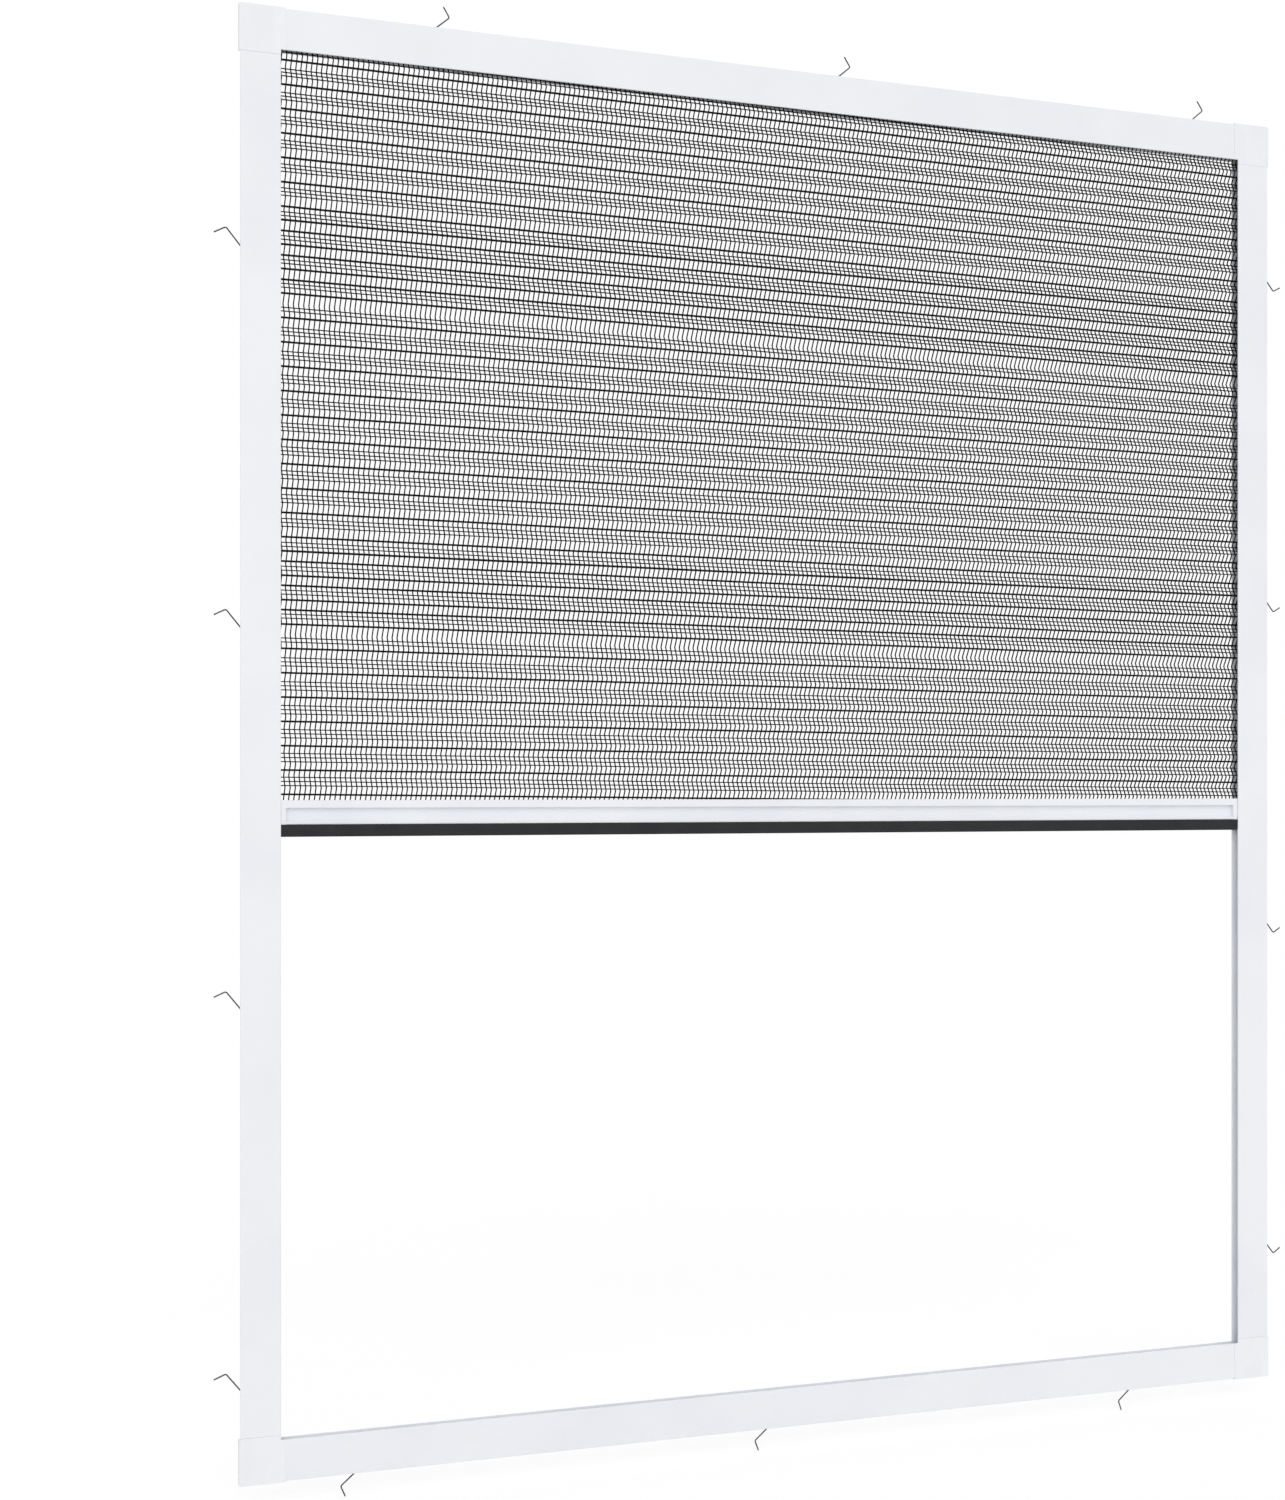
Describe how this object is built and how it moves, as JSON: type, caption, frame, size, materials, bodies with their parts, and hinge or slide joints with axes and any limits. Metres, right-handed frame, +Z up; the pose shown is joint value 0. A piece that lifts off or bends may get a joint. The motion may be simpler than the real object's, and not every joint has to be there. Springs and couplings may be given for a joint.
{
  "type": "pleated window screen",
  "caption": "Framed insect screen for a window: pleated net pulled open and shut by a sliding bar with a rubber seal, held in the opening by wire hooks around the frame.",
  "frame": {"origin": "centre of the whole part, which is the middle of the frame in height and width and the middle of the frame's depth", "axes": "+X to the right seen from the front, +Y away from the viewer from the front face to the back, +Z up along the stiles"},
  "size_m": [1.041, 0.011, 1.241],
  "materials": {
    "white_coated_aluminium": "white powder coat, fine satin",
    "white_plastic": "moulded, satin",
    "clamp_plastic": "extruded, matt",
    "black_rubber": "extruded, matt",
    "black_net": "open mesh with pressed pleats",
    "spring_steel": "drawn wire, dull"
  },
  "bodies": {
    "frame": {"left_stile": "white_coated_aluminium", "right_stile": "white_coated_aluminium", "top_rail": "white_coated_aluminium", "bottom_rail": "white_coated_aluminium", "corner_top_left": "white_plastic", "corner_top_right": "white_plastic", "corner_bottom_left": "white_plastic", "corner_bottom_right": "white_plastic", "top_net_clamp": "clamp_plastic", "pleated_net": "black_net", "left_hook_holder_1": "white_plastic", "left_hook_holder_2": "white_plastic", "left_hook_holder_3": "white_plastic", "left_hook_holder_4": "white_plastic", "right_hook_holder_1": "white_plastic", "right_hook_holder_2": "white_plastic", "right_hook_holder_3": "white_plastic", "right_hook_holder_4": "white_plastic", "top_hook_holder_1": "white_plastic", "top_hook_holder_2": "white_plastic", "top_hook_holder_3": "white_plastic", "bottom_hook_holder_1": "white_plastic", "bottom_hook_holder_2": "white_plastic", "bottom_hook_holder_3": "white_plastic", "left_hook_1": "spring_steel", "left_hook_2": "spring_steel", "left_hook_3": "spring_steel", "left_hook_4": "spring_steel", "right_hook_1": "spring_steel", "right_hook_2": "spring_steel", "right_hook_3": "spring_steel", "right_hook_4": "spring_steel", "top_hook_1": "spring_steel", "top_hook_2": "spring_steel", "top_hook_3": "spring_steel", "bottom_hook_1": "spring_steel", "bottom_hook_2": "spring_steel", "bottom_hook_3": "spring_steel"},
    "bar": {"pull_bar": "white_coated_aluminium", "bar_cap_left": "white_plastic", "bar_cap_right": "white_plastic", "bar_seal": "black_rubber", "bar_net_clamp": "clamp_plastic"}
  },
  "joints": [
    {"name": "bar_slide", "type": "slide", "parent": "frame", "child": "bar", "axis": [0, 0, 1], "range_m": [-0.4895, 0.5895], "deforming": ["pleated_net"]}
  ]
}
